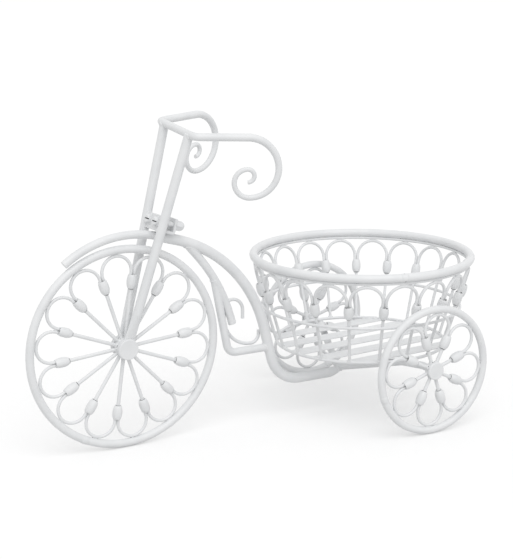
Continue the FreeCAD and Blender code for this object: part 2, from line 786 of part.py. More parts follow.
def basket_cone():
    """Cone of the basket's side: its slopes, its apex and the places of arches and beads on it."""
    half_turn = math.pi / basket_arch_count
    arch_top_height = top_ring_height() - (basket_ring_wire + petal_wire) / 2 - seat_gap
    axis_top_radius = (basket_rim_radius - basket_ring_inset) / math.cos(half_turn)
    flare = math.atan((axis_top_radius - basket_bottom_radius) / (arch_top_height - bottom_ring_height))
    apex_height = bottom_ring_height - basket_bottom_radius / math.tan(flare)
    half_angle = math.asin(math.sin(flare) * math.sin(half_turn))
    bisector_flare = math.atan(math.tan(flare) * math.cos(half_turn))
    arch_top = (arch_top_height - apex_height) / math.cos(bisector_flare)
    bead_mouth = petal_geometry(half_angle, arch_top)[2] - basket_arch_lead
    return BasketCone(flare, bisector_flare, apex_height, half_angle, arch_top, bead_mouth)


def round_the_basket(shape, flare, start, cone):
    """Copies of a shape that runs out along X from the cone's apex, raised to a slope of the cone."""
    raised = shape.copy()
    raised.rotate(origin, across, math.degrees(flare) - 90.0)
    apex = Vector(basket_x, 0, cone.apex_height)
    return [moved(copy, apex) for copy in turned_copies(raised, basket_arch_count, upward, start)]


def basket_ring(radius, wire, height):
    """Closed ring round the basket's axis."""
    return [Part.makeTorus(radius, wire / 2, Vector(basket_x, 0, height), upward)]


def basket():
    """Round conical basket: rim, three rings, ribs, beads and arches, and a floor of slats."""
    cone = basket_cone()
    rib_start = basket_bottom_radius / math.sin(cone.flare) + basket_bottom_ring_wire / 2 + seat_gap
    rib_end = cone.bead_mouth - wire_insertion - 2 * seat_gap
    rib = straight_rod(Vector(rib_start, 0, 0), Vector(rib_end, 0, 0), basket_rib_wire)
    one_bead = moved(bead(basket_rib_wire), Vector(cone.bead_mouth, 0, 0))
    arch = petal_rod(cone.half_angle, cone.arch_top, basket_arch_lead)
    arch.rotate(origin, backward, 90)
    arch_start = basket_arch_start + 180.0 / basket_arch_count
    mid_ring_height = bottom_ring_height + basket_mid_ring_rise
    outside_ribs = ((basket_rib_wire + basket_ring_wire) / 2 + seat_gap) / math.cos(cone.flare)
    mid_ring_radius = (mid_ring_height - cone.apex_height) * math.tan(cone.flare) + outside_ribs
    top_ring_radius = basket_rim_radius - basket_ring_inset
    return {
        "basket_rim": basket_ring(basket_rim_radius, basket_rim_rod, basket_rim_height),
        "basket_top_ring": basket_ring(top_ring_radius, basket_ring_wire, top_ring_height()),
        "basket_mid_ring": basket_ring(mid_ring_radius, basket_ring_wire, mid_ring_height),
        "basket_bottom_ring": basket_ring(basket_bottom_radius, basket_bottom_ring_wire, bottom_ring_height),
        "basket_ribs": round_the_basket(rib, cone.flare, basket_arch_start, cone),
        "basket_beads": round_the_basket(one_bead, cone.flare, basket_arch_start, cone),
        "basket_arches": round_the_basket(arch, cone.bisector_flare, arch_start, cone),
        "basket_slats": basket_slats(),
    }


def basket_slats():
    """Flat floor slats along the stand, their ends trimmed to the inside of the bottom ring."""
    trim_radius = basket_bottom_radius - basket_bottom_ring_wire / 2 - seat_gap
    floor_middle = Vector(basket_x, 0, slat_underside)
    disc = Part.makeCylinder(trim_radius, slat_thickness, floor_middle)
    slats = []
    for index in range(slat_count):
        side = (index - (slat_count - 1) / 2) * slat_pitch - slat_width / 2
        corner = floor_middle + Vector(-trim_radius, side, 0)
        strip = Part.makeBox(2 * trim_radius, slat_width, slat_thickness, corner)
        slats.append(strip.common(disc))
    return slats


def build():
    """All nodes of the stand, each a list of separate solids."""
    front = wheel(
        front_wheel_diameter, front_rim_rod, front_spoke_count, front_spoke_start,
        front_hub_diameter, front_hub_length, front_axle_diameter,
    )
    rear = wheel(
        rear_wheel_diameter, rear_rim_rod, rear_spoke_count, rear_spoke_start,
        rear_hub_diameter, rear_hub_length, rear_axle_diameter,
    )
    nodes = {}
    nodes.update(placed_wheel("front_wheel", front, front_hub))
    nodes.update(placed_wheel("rear_left_wheel", rear, Vector(rear_hub_x, -half_track(), rear_axle_height)))
    nodes.update(placed_wheel("rear_right_wheel", rear, Vector(rear_hub_x, half_track(), rear_axle_height)))
    nodes.update(front_axle())
    nodes.update(rear_axle_parts())
    nodes.update(fork_and_handlebar())
    nodes.update(bracket_fasteners())
    nodes.update(frame())
    nodes.update(basket())
    return nodes


def main():
    """Write one STEP file per node."""
    os.makedirs("parts", exist_ok=True)
    for name, shapes in build().items():
        solids = [solid for shape in shapes for solid in shape.Solids]
        node = solids[0] if len(solids) == 1 else Part.makeCompound(solids)
        node.exportStep("parts/" + name + ".step")
        print(name, len(solids), "solids", round(node.Volume, 1), "mm3")


main()
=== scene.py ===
"""Looks of a white wire tricycle planter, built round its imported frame.

Sizes in the classes are millimetres, as in the part's source. Meshes are metres, in the frame's own axes:
X runs from the front wheel to the basket, Y across the stand and Z up.
"""

import logging
import math
import random
from dataclasses import dataclass, replace
from enum import Enum

import bmesh
import bpy
import numpy as np
from mathutils import Matrix, Vector, noise
from mathutils.bvhtree import BVHTree
from mathutils.kdtree import KDTree


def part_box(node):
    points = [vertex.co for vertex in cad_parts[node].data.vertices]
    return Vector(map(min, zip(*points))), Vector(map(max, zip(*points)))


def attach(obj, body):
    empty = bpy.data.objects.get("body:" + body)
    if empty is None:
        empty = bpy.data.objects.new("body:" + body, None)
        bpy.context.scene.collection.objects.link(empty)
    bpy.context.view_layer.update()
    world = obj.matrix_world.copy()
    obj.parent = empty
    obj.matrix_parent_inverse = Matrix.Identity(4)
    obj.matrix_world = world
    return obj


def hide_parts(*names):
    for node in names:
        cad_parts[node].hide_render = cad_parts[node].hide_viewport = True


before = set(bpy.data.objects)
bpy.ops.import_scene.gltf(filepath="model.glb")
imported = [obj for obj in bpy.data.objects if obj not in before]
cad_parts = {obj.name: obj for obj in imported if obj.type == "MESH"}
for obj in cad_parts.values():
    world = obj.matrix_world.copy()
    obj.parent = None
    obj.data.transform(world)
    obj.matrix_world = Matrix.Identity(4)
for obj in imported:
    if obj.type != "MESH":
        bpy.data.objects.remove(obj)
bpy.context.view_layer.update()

MM = 0.001
FULL_TURN = 2.0 * math.pi
MERGE_GAP = 0.005 * MM
GAP_DIGITS = 2
PLACE_DIGITS = 6
ACROSS = Vector((0, 1, 0))
WHITE = (1.0, 1.0, 1.0, 1.0)
# Near-black steel: real chips, and painted shade in bead bores and mouths, bolt slots, hub gaps and weld
# crevices. The chip layer carries both the chips and the painted shade.
STEEL_AND_SHADE_COLOUR = (0.030, 0.032, 0.036)
CHIP_AND_SHADE_LAYER = "chip"
LOG = logging.getLogger("planter")

Colour = tuple[float, float, float]
Range = tuple[float, float]
Offsets = tuple[tuple[float, float], ...]
Section = list[tuple[float, float]]


class Body(Enum):
    """Moving bodies of the frame."""

    FRAME = "frame"
    FRONT_WHEEL = "front_wheel"
    REAR_LEFT_WHEEL = "rear_left_wheel"
    REAR_RIGHT_WHEEL = "rear_right_wheel"


class Slot(Enum):
    """Material slots of the record."""

    FRAME = "frame_paint"
    WHEEL = "wheel_paint"
    BASKET = "basket_paint"
    FASTENER = "fastener_paint"


class Effect(Enum):
    """Shader node groups that the finishes share."""

    TONE = "coat_tone"
    PEEL = "orange_peel"
    CHIPS_AND_SHADE = "chipped_coat"


# Finishes


def new_group(effect: Effect, inputs: dict[str, object], outputs: dict[str, str]) -> bpy.types.NodeTree:
    """Start a shader node group with its sockets.

    Args:
        effect: name of the group.
        inputs: default value of each input; a tuple makes a colour, None a vector, a number a value.
        outputs: socket type of each output.

    Returns:
        The group, with its input and output nodes in place.
    """
    group = bpy.data.node_groups.new(effect.value, "ShaderNodeTree")
    for name, value in inputs.items():
        kind = "NodeSocketFloat"
        if value is None:
            kind = "NodeSocketVector"
        elif isinstance(value, tuple):
            kind = "NodeSocketColor"
        socket = group.interface.new_socket(name, in_out="INPUT", socket_type=kind)
        if isinstance(value, tuple):
            socket.default_value = (*value, 1.0)
        elif value is not None:
            socket.default_value = value
    for name, kind in outputs.items():
        group.interface.new_socket(name, in_out="OUTPUT", socket_type=kind)
    group.nodes.new("NodeGroupInput")
    group.nodes.new("NodeGroupOutput")
    return group


class CoatEffects:
    """Builds each shared node group once."""

    film_band: Range = (0.36, 0.66)
    gloss_band: Range = (0.3, 0.7)
    gloss_fineness: float = 6.0
    grain_fineness: float = 4.0
    grain_height: float = 0.25
    # Swing and band of the mask of chips and painted shade.
    chip_swing: float = 1.6
    chip_and_shade_band: Range = (1.76, 1.84)

    def group(self, effect: Effect) -> bpy.types.NodeTree:
        """Return the node group of an effect, built on first use.

        Args:
            effect: the effect wanted.

        Returns:
            The shader node group.
        """
        made = bpy.data.node_groups.get(effect.value)
        if made:
            return made
        builders = {Effect.TONE: self.tone, Effect.PEEL: self.peel, Effect.CHIPS_AND_SHADE: self.chips}
        return builders[effect]()

    def noise(self, group: bpy.types.NodeTree, scale_times: float, detail: float) -> bpy.types.NodeSocket:
        """Add noise on the group's own place and scale.

        Args:
            group: group that gets the nodes.
            scale_times: how much finer than the group's Scale input the noise is.
            detail: octaves of the noise.

        Returns:
            The noise value socket.
        """
        start = group.nodes["Group Input"]
        scale = group.nodes.new("ShaderNodeMath")
        scale.operation = "MULTIPLY"
        scale.inputs[1].default_value = scale_times
        grain = group.nodes.new("ShaderNodeTexNoise")
        grain.inputs["Detail"].default_value = detail
        group.links.new(start.outputs["Scale"], scale.inputs[0])
        group.links.new(start.outputs["Place"], grain.inputs["Vector"])
        group.links.new(scale.outputs[0], grain.inputs["Scale"])
        return grain.outputs[0]

    def ramp(
        self, group: bpy.types.NodeTree, value: bpy.types.NodeSocket, low: float, high: float
    ) -> bpy.types.Node:
        """Add a smooth step from 0 at low to 1 at high.

        Args:
            group: group that gets the node.
            value: socket that is stepped.
            low: value that gives 0.
            high: value that gives 1.

        Returns:
            The map range node.
        """
        step = group.nodes.new("ShaderNodeMapRange")
        step.interpolation_type = "SMOOTHSTEP"
        step.inputs["From Min"].default_value = low
        step.inputs["From Max"].default_value = high
        group.links.new(value, step.inputs["Value"])
        return step

    def tone(self) -> bpy.types.NodeTree:
        """Coat that is a little thicker and smoother in some places than in others."""
        group = new_group(
            Effect.TONE,
            {
                "Place": None, "Scale": 50.0, "Thick": (0.8, 0.8, 0.8), "Thin": (0.7, 0.7, 0.7),
                "Smooth": 0.3, "Rough": 0.5,
            },
            {"Colour": "NodeSocketColor", "Roughness": "NodeSocketFloat"},
        )
        start, end = group.nodes["Group Input"], group.nodes["Group Output"]
        film = self.ramp(group, self.noise(group, scale_times=1.0, detail=3.0), *self.film_band)
        colour = group.nodes.new("ShaderNodeMix")
        colour.data_type = "RGBA"
        gloss = group.nodes.new("ShaderNodeMix")
        grain = self.ramp(group, self.noise(group, self.gloss_fineness, detail=2.0), *self.gloss_band)
        group.links.new(film.outputs["Result"], colour.inputs["Factor"])
        group.links.new(start.outputs["Thick"], colour.inputs["A"])
        group.links.new(start.outputs["Thin"], colour.inputs["B"])
        group.links.new(grain.outputs["Result"], gloss.inputs["Factor"])
        group.links.new(start.outputs["Smooth"], gloss.inputs["A"])
        group.links.new(start.outputs["Rough"], gloss.inputs["B"])
        group.links.new(next(s for s in colour.outputs if s.type == "RGBA"), end.inputs["Colour"])
        group.links.new(gloss.outputs[0], end.inputs["Roughness"])
        return group

    def peel(self) -> bpy.types.NodeTree:
        """Soft dimples of cured powder, with a finer grain on them."""
        group = new_group(Effect.PEEL, {"Place": None, "Scale": 800.0}, {"Height": "NodeSocketFloat"})
        end = group.nodes["Group Output"]
        total = group.nodes.new("ShaderNodeMath")
        total.operation = "MULTIPLY_ADD"
        total.inputs[1].default_value = self.grain_height
        group.links.new(self.noise(group, self.grain_fineness, detail=1.0), total.inputs[0])
        group.links.new(self.noise(group, scale_times=1.0, detail=1.5), total.inputs[2])
        group.links.new(total.outputs[0], end.inputs["Height"])
        return group

    def chips(self) -> bpy.types.NodeTree:
        """Ragged mask of missing coat and of painted shade, as large as the edge value and the cover allow.
        """
        group = new_group(
            Effect.CHIPS_AND_SHADE,
            {"Place": None, "Scale": 700.0, "Edge": 0.0, "Cover": 0.3},
            {"Mask": "NodeSocketFloat"},
        )
        start, end = group.nodes["Group Input"], group.nodes["Group Output"]
        ragged = group.nodes.new("ShaderNodeMath")
        ragged.operation = "MULTIPLY_ADD"
        ragged.inputs[1].default_value = self.chip_swing
        total = group.nodes.new("ShaderNodeMath")
        total.operation = "ADD"
        step = self.ramp(group, total.outputs[0], *self.chip_and_shade_band)
        group.links.new(self.noise(group, scale_times=1.0, detail=2.0), ragged.inputs[0])
        group.links.new(start.outputs["Edge"], ragged.inputs[2])
        group.links.new(ragged.outputs[0], total.inputs[0])
        group.links.new(start.outputs["Cover"], total.inputs[1])
        group.links.new(step.outputs["Result"], end.inputs["Mask"])
        return group


class MaterialTree:
    """Node tree of one material, with its shader and the place on its piece."""

    def __init__(self, name: str) -> None:
        """Start a material on the Principled shader.

        Args:
            name: name of the material.
        """
        self.material = bpy.data.materials.new(name)
        self.material.use_nodes = True
        self.tree = self.material.node_tree
        self.shader = self.tree.nodes["Principled BSDF"]
        self.place = self.tree.nodes.new("ShaderNodeTexCoord").outputs["Object"]

    def effect(self, effect: Effect, **values: float | Colour) -> bpy.types.Node:
        """Place a shared effect with this material's own values.

        Args:
            effect: effect to place.
            values: values of its inputs by name.

        Returns:
            The group node.
        """
        node = self.tree.nodes.new("ShaderNodeGroup")
        node.node_tree = CoatEffects().group(effect)
        self.feed(self.place, node.inputs["Place"])
        for name, value in values.items():
            node.inputs[name].default_value = (*value, 1.0) if isinstance(value, tuple) else value
        return node

    def feed(self, output: bpy.types.NodeSocket, target: bpy.types.NodeSocket) -> None:
        """Link an output to an input."""
        self.tree.links.new(output, target)

    def bump(self, height: bpy.types.NodeSocket, depth: float) -> None:
        """Feed a height to the shader's normal.

        Args:
            height: height socket.
            depth: depth of the full height, mm.
        """
        node = self.tree.nodes.new("ShaderNodeBump")
        node.inputs["Distance"].default_value = depth * MM
        self.feed(height, node.inputs["Height"])
        self.feed(node.outputs["Normal"], self.shader.inputs["Normal"])

    def mixed(
        self, mask: bpy.types.NodeSocket, under: bpy.types.NodeSocket, over: Colour
    ) -> bpy.types.NodeSocket:
        """Lay a colour over another where a mask says so.

        Args:
            mask: mask socket.
            under: colour socket below.
            over: colour on top.

        Returns:
            The mixed colour socket.
        """
        node = self.tree.nodes.new("ShaderNodeMix")
        node.data_type = "RGBA"
        self.feed(mask, node.inputs["Factor"])
        self.feed(under, next(s for s in node.inputs if s.type == "RGBA" and s.name == "A"))
        next(s for s in node.inputs if s.type == "RGBA" and s.name == "B").default_value = (*over, 1.0)
        return next(s for s in node.outputs if s.type == "RGBA")


@dataclass(frozen=True)
class PowderCoat:
    """White powder coat on steel, with near-black marks where a piece's own layer says so: chips, and
    painted shade at bead mouths and weld crevices.
    """

    name: str
    colour: Colour = (0.782, 0.790, 0.798)
    thin_colour: Colour = (0.746, 0.756, 0.766)
    steel_and_shade_colour: Colour = STEEL_AND_SHADE_COLOUR
    smooth: float = 0.34
    rough: float = 0.46
    tone_scale: float = 45.0
    peel_scale: float = 520.0
    peel_depth: float = 0.035
    chip_and_shade_scale: float = 620.0
    chip_and_shade_cover: float = 0.0

    def material(self) -> bpy.types.Material:
        """Build the coat's material, with chips and painted shade where it has a cover for them."""
        paint = MaterialTree(self.name)
        tone = paint.effect(
            Effect.TONE, Scale=self.tone_scale, Thick=self.colour, Thin=self.thin_colour,
            Smooth=self.smooth, Rough=self.rough,
        )
        peel = paint.effect(Effect.PEEL, Scale=self.peel_scale)
        colour = tone.outputs["Colour"]
        if self.chip_and_shade_cover:
            layer = paint.tree.nodes.new("ShaderNodeAttribute")
            layer.attribute_name = CHIP_AND_SHADE_LAYER
            chips = paint.effect(Effect.CHIPS_AND_SHADE, Scale=self.chip_and_shade_scale, Cover=self.chip_and_shade_cover)
            paint.feed(layer.outputs["Fac"], chips.inputs["Edge"])
            # Near-black where the mask says: chips, and painted shade at bead mouths and weld crevices.
            colour = paint.mixed(chips.outputs["Mask"], colour, self.steel_and_shade_colour)
        paint.feed(colour, paint.shader.inputs["Base Color"])
        paint.feed(tone.outputs["Roughness"], paint.shader.inputs["Roughness"])
        paint.bump(peel.outputs["Height"], self.peel_depth)
        return paint.material


@dataclass(frozen=True)
class BareSteelAndShade:
    """Dark rolled steel that the powder didn't reach; the same near-black also stands in as painted shade
    in bead bores, bolt slots and the gaps beside the hubs.
    """

    name: str
    colour: Colour = STEEL_AND_SHADE_COLOUR
    worn_colour: Colour = (0.090, 0.092, 0.098)
    smooth: float = 0.45
    rough: float = 0.7
    metallic: float = 0.6
    scale: float = 400.0
    depth: float = 0.03

    def material(self) -> bpy.types.Material:
        """Build the steel's material."""
        steel = MaterialTree(self.name)
        tone = steel.effect(
            Effect.TONE, Scale=self.scale, Thick=self.colour, Thin=self.worn_colour,
            Smooth=self.smooth, Rough=self.rough,
        )
        peel = steel.effect(Effect.PEEL, Scale=self.scale)
        steel.shader.inputs["Metallic"].default_value = self.metallic
        steel.feed(tone.outputs["Colour"], steel.shader.inputs["Base Color"])
        steel.feed(tone.outputs["Roughness"], steel.shader.inputs["Roughness"])
        steel.bump(peel.outputs["Height"], self.depth)
        return steel.material


class Finishes:
    """Materials of the planter, built once."""

    # The axles take the near-black steel: bare metal that also paints the shade in the gaps beside the
    # hubs.
    bare_and_shade_nodes = ("front_axle", "rear_left_axle_pin", "rear_right_axle_pin")

    def __init__(self) -> None:
        """Build the coats of the record's slots, their kin with chips and painted shade, and the bare steel
        that also paints shade.
        """
        self.coats = {slot: PowderCoat(slot.value.replace("paint", "coat")).material() for slot in Slot}
        self.chipped = PowderCoat("chipped_coat", chip_and_shade_cover=0.32).material()
        self.weld = PowderCoat("weld_coat", tone_scale=120.0, peel_depth=0.06, chip_and_shade_cover=0.30).material()
        self.steel = BareSteelAndShade("bare_steel_and_shade").material()

    def coat_nodes(self) -> None:
        """Give every node of the frame the coat of its slot, and give the axles the dark bare steel, which
        also paints the shade in the gaps beside the hubs.
        """
        for name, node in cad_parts.items():
            slot = Slot(node.material_slots[0].material.name.split(".")[0])
            finish = self.steel if name in self.bare_and_shade_nodes else self.coats[slot]
            for place in node.material_slots:
                place.material = finish
            LOG.info("finished %s with %s", name, finish.name)


# Shared shapes


def finished_piece(
    bm: bmesh.types.BMesh, name: str, materials: list[bpy.types.Material],
    body: Body, slot: Slot, *nodes: str,
) -> bpy.types.Object:
    """Turn a bmesh into a smooth piece that rides on a body.

    Args:
        bm: the piece's shape, in metres at its place; it is freed.
        name: name of the piece.
        materials: materials by face index.
        body: body that carries the piece.
        slot: record slot of the finish; not used.
        nodes: nodes of the frame that the piece stands for.

    Returns:
        The piece's object.
    """
    mesh = bpy.data.meshes.new(name)
    bm.to_mesh(mesh)
    bm.free()
    for material in materials:
        mesh.materials.append(material)
    mesh.shade_smooth()
    piece = bpy.data.objects.new(name, mesh)
    bpy.context.scene.collection.objects.link(piece)
    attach(piece, body.value)
    if nodes:
        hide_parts(*nodes)
    LOG.info("built %s: %d faces on %s", name, len(mesh.polygons), body.value)
    return piece


def spun(profiles: list[Section], steps: int) -> bmesh.types.BMesh:
    """Spin closed sections into rings about Z.

    Args:
        profiles: sections of the rings.
        steps: steps of the full turn.

    Returns:
        The closed rings, in metres.
    """
    bm = bmesh.new()
    for profile in profiles:
        points = [bm.verts.new((radius * MM, 0.0, height * MM)) for radius, height in profile]
        edges = [bm.edges.new(pair) for pair in zip(points, points[1:] + points[:1])]
        bmesh.ops.spin(
            bm, geom=points + edges, cent=(0, 0, 0), axis=(0, 0, 1),
            angle=FULL_TURN, steps=steps, use_merge=True,
        )
    bmesh.ops.remove_doubles(bm, verts=bm.verts, dist=MERGE_GAP)
    bmesh.ops.recalc_face_normals(bm, faces=bm.faces)
    return bm


def facing(place: Vector, direction: Vector, side: Vector) -> Matrix:
    """Place a shape so that its Z runs along a direction.

    Args:
        place: place of the shape's origin, metres.
        direction: where its Z points.
        side: roughly where its X points.

    Returns:
        The placing matrix.
    """
    z = direction.normalized()
    y = z.cross(side).normalized()
    return Matrix.Translation(place) @ Matrix((y.cross(z), y, z)).transposed().to_4x4()


def add_copy(bm: bmesh.types.BMesh, shape: bpy.types.Mesh, place: Matrix, chip_and_shade: float) -> None:
    """Add a placed copy of a master shape.

    Args:
        bm: bmesh that gets the copy.
        shape: master mesh with a layer of chips and painted shade.
        place: where the copy goes.
        chip_and_shade: factor on the copy's layer of chips and painted shade.
    """
    copy = shape.copy()
    copy.transform(place)
    layer = copy.attributes[CHIP_AND_SHADE_LAYER].data
    values = np.empty(len(layer), np.float32)
    layer.foreach_get("value", values)
    layer.foreach_set("value", values * chip_and_shade)
    bm.from_mesh(copy)
    bpy.data.meshes.remove(copy)


def stepped(radius: float, height: float, offsets: Offsets) -> Section:
    """Return section points at offsets from a radius and a height, mm."""
    return [(radius + outward, height + upward) for outward, upward in offsets]


@dataclass(frozen=True)
class BarrelBead:
    """Thin barrel that clamps a stem and two petal wires, with a crimped neck round the stem."""

    length: float = 13.8
    stem_radius: float = 3.25
    mouth_radius: float = 3.75
    bulge_radius: float = 4.85
    bore_radius: float = 3.3
    stem_bore: float = 2.45
    fill_radius: float = 2.7
    open_radius: float = 3.1
    open_share: float = 0.2
    neck_radius: float = 2.65
    neck_bore: float = 1.95
    neck_reach: float = 0.9
    neck_depth: float = 2.6
    seam_depth: float = 0.2
    shoulder_points: int = 13
    steps: int = 32
    # Reach, levels and lobes of the chips and the painted shade of the openings at the bead's ends.
    chip_and_shade_reach: float = 1.3
    stem_chip_and_shade: float = 0.8
    most_chip_and_shade: float = 0.8
    bulge_power: float = 2.4
    stem_lip_inside: Offsets = ((0.0, 0.5), (0.06, 0.16), (0.22, 0.0))
    stem_lip_outside: Offsets = ((-0.14, 0.04), (0.0, 0.2))
    mouth_lip_outside: Offsets = ((0.0, -0.2), (-0.12, -0.03))
    mouth_lip_inside: Offsets = ((0.12, 0.0), (0.0, -0.14))
    fill_top: Offsets = ((-0.05, -0.34),)
    fill_ring: Offsets = ((0.3, -0.42), (0.0, -0.6), (0.0, -1.2))
    fill_foot: Offsets = ((0.0, -1.4),)
    bore_shares: Range = (0.5, 0.2)
    neck_lip_inside: Offsets = ((0.0, 0.2), (0.2, 0.0))
    neck_lip_outside: Offsets = ((-0.3, 0.0), (0.0, 0.45))
    stem_lip_depth: float = 0.5
    mouth_lip_depth: float = 0.6
    wall_skin: float = 0.2
    lobe_mean: float = 0.55
    lobe_swing: float = 0.45
    seam_clearance: float = 0.3
    seam_angle: float = 0.01
    girths: Range = (0.97, 1.02)
    chip_and_shade_levels: Range = (0.35, 1.0)

    def wall(self, height: float) -> float:
        """Return the barrel's outer radius at a height above its stem end, mm."""
        share = 2.0 * height / self.length - 1.0
        end = self.stem_radius if share < 0.0 else self.mouth_radius
        return end + (self.bulge_radius - end) * (1.0 - abs(share) ** self.bulge_power)

    def barrel(self) -> Section:
        """Return the wall's section from the stem end to the petal mouth and back through the bore."""
        top = self.length
        stem_lip = stepped(self.stem_bore, 0.0, self.stem_lip_inside)
        stem_lip += stepped(self.stem_radius, 0.0, self.stem_lip_outside)
        heights = [top * index / (self.shoulder_points + 1) for index in range(1, self.shoulder_points + 1)]
        shoulder = [(self.wall(height), height) for height in heights]
        mouth_lip = stepped(self.mouth_radius, top, self.mouth_lip_outside)
        mouth_lip += stepped(self.bore_radius, top, self.mouth_lip_inside)
        fill = stepped(self.bore_radius, top, self.fill_top)
        fill += stepped(self.fill_radius, top, self.fill_ring)
        fill += stepped(self.bore_radius, top, self.fill_foot)
        wide, narrow = self.bore_shares
        bore = [(self.bore_radius, top * wide), (self.stem_bore, top * narrow)]
        return stem_lip + shoulder + mouth_lip + fill + bore

    def neck(self) -> Section:
        """Return the section of the neck that stands out of the barrel's stem end."""
        end = -self.neck_reach
        inside = stepped(self.neck_bore, end, self.neck_lip_inside)
        outside = stepped(self.neck_radius, end, self.neck_lip_outside)
        return [(self.neck_bore, self.neck_depth), *inside, *outside, (self.neck_radius, self.neck_depth)]

    def master(self) -> bpy.types.Mesh:
        """Build the bead along Z with the barrel's stem end at the origin.

        Returns:
            A mesh with the bore in dark steel on its second material, bare metal and painted shade of the
            bore, and a layer of chips and painted opening shade at both ends.
        """
        bm = spun([self.barrel(), self.neck()], self.steps)
        layer = bm.verts.layers.float.new(CHIP_AND_SHADE_LAYER)
        # Faces deep in the bore take the dark steel: bare metal and painted shade of the bore.
        for face in bm.faces:
            middle = face.calc_center_median() / MM
            inside = self.stem_lip_depth < middle.z < self.length - self.mouth_lip_depth
            face.material_index = int(inside and middle.xy.length < self.wall(middle.z) - self.wall_skin)
        # Near both ends the layer marks chips and the painted shade of the openings, strongest in two
        # opposite lobes.
        for vert in bm.verts:
            radius, angle = vert.co.xy.length, math.atan2(vert.co.y, vert.co.x)
            height = vert.co.z / MM
            at_stem = height < self.length / 2
            end = height if at_stem else self.length - height
            sided = self.lobe_mean + self.lobe_swing * math.cos(2.0 * angle)
            chip_and_shade = min(self.most_chip_and_shade, max(0.0, 1.0 - end / self.chip_and_shade_reach))
            vert[layer] = chip_and_shade * sided * (self.stem_chip_and_shade if at_stem else 1.0)
            if radius > (self.bore_radius + self.seam_clearance) * MM and abs(angle) < self.seam_angle:
                vert.co.xy *= 1.0 - self.seam_depth * MM / radius
        mesh = bpy.data.meshes.new("bead")
        bm.to_mesh(mesh)
        bm.free()
        return mesh

    def row(self, places: list[Matrix], turns: Range, draw: random.Random) -> bmesh.types.BMesh:
        """Build a bead at each place, some with an open mouth and no two quite alike.

        Args:
            places: matrices that put the stem end in place.
            turns: least and most turn of a bead about its own axis, radians.
            draw: source of the differences.

        Returns:
            All the beads.
        """
        closed = self.master()
        unfilled = replace(self, fill_radius=self.open_radius).master()
        bm = bmesh.new()
        for place in places:
            shape = unfilled if draw.random() < self.open_share else closed
            turn = Matrix.Rotation(draw.uniform(*turns), 4, "Z")
            girth = draw.uniform(*self.girths)
            chip_and_shade = draw.uniform(*self.chip_and_shade_levels)
            add_copy(bm, shape, place @ turn @ Matrix.Diagonal((girth, girth, 1.0, 1.0)), chip_and_shade)
        bpy.data.meshes.remove(closed)
        bpy.data.meshes.remove(unfilled)
        return bm


@dataclass(frozen=True)
class RodJoint:
    """Butt weld of a rod that was bent into a ring, ground down and coated over."""

    rod: float
    length: float = 7.0
    rise: float = 0.28
    rises: tuple[float, ...] = (0.0, 0.45, 0.9, 1.0, 0.7, 0.95, 0.5, 0.0)
    sunk: float = 0.05
    wall: float = 0.5
    skin: float = 0.1
    lump_scale: float = 420.0
    lump_height: float = 0.035
    chip_mean: float = 0.42
    chip_swing: float = 0.5
    steps: int = 28

    def add(self, bm: bmesh.types.BMesh, place: Matrix, seed: float) -> None:
        """Add the weld's sleeve round a rod that runs along the place's Z.

        Args:
            bm: bmesh with a chip layer.
            place: middle of the weld.
            seed: shift of the lumps.
        """
        radius, half = self.rod / 2, self.length / 2
        outer = [
            (radius - self.sunk + self.rise * rise, half * (2.0 * index / (len(self.rises) - 1) - 1.0))
            for index, rise in enumerate(self.rises)
        ]
        inner = [(radius - self.wall, half), (radius - self.wall, -half)]
        sleeve = spun([outer + inner], self.steps)
        layer = sleeve.verts.layers.float.new(CHIP_AND_SHADE_LAYER)
        for vert in sleeve.verts:
            if vert.co.xy.length > (radius - self.skin) * MM:
                lump = noise.noise(vert.co * self.lump_scale + Vector((seed, seed, 0.0)))
                vert.co.xy *= 1.0 + self.lump_height * lump
                chip = max(0.0, self.chip_mean + self.chip_swing * lump)
                vert[layer] = chip * (1.0 - abs(vert.co.z) / (half * MM))
        bmesh.ops.transform(sleeve, matrix=place, verts=sleeve.verts)
        mesh = bpy.data.meshes.new("joint")
        sleeve.to_mesh(mesh)
        sleeve.free()
        bm.from_mesh(mesh)
        bpy.data.meshes.remove(mesh)


def seat_mesh(name: str) -> bpy.types.Mesh:
    """Return the mesh of a node of the frame, or of a piece that stands for one."""
    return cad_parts.get(name, bpy.data.objects.get(name)).data


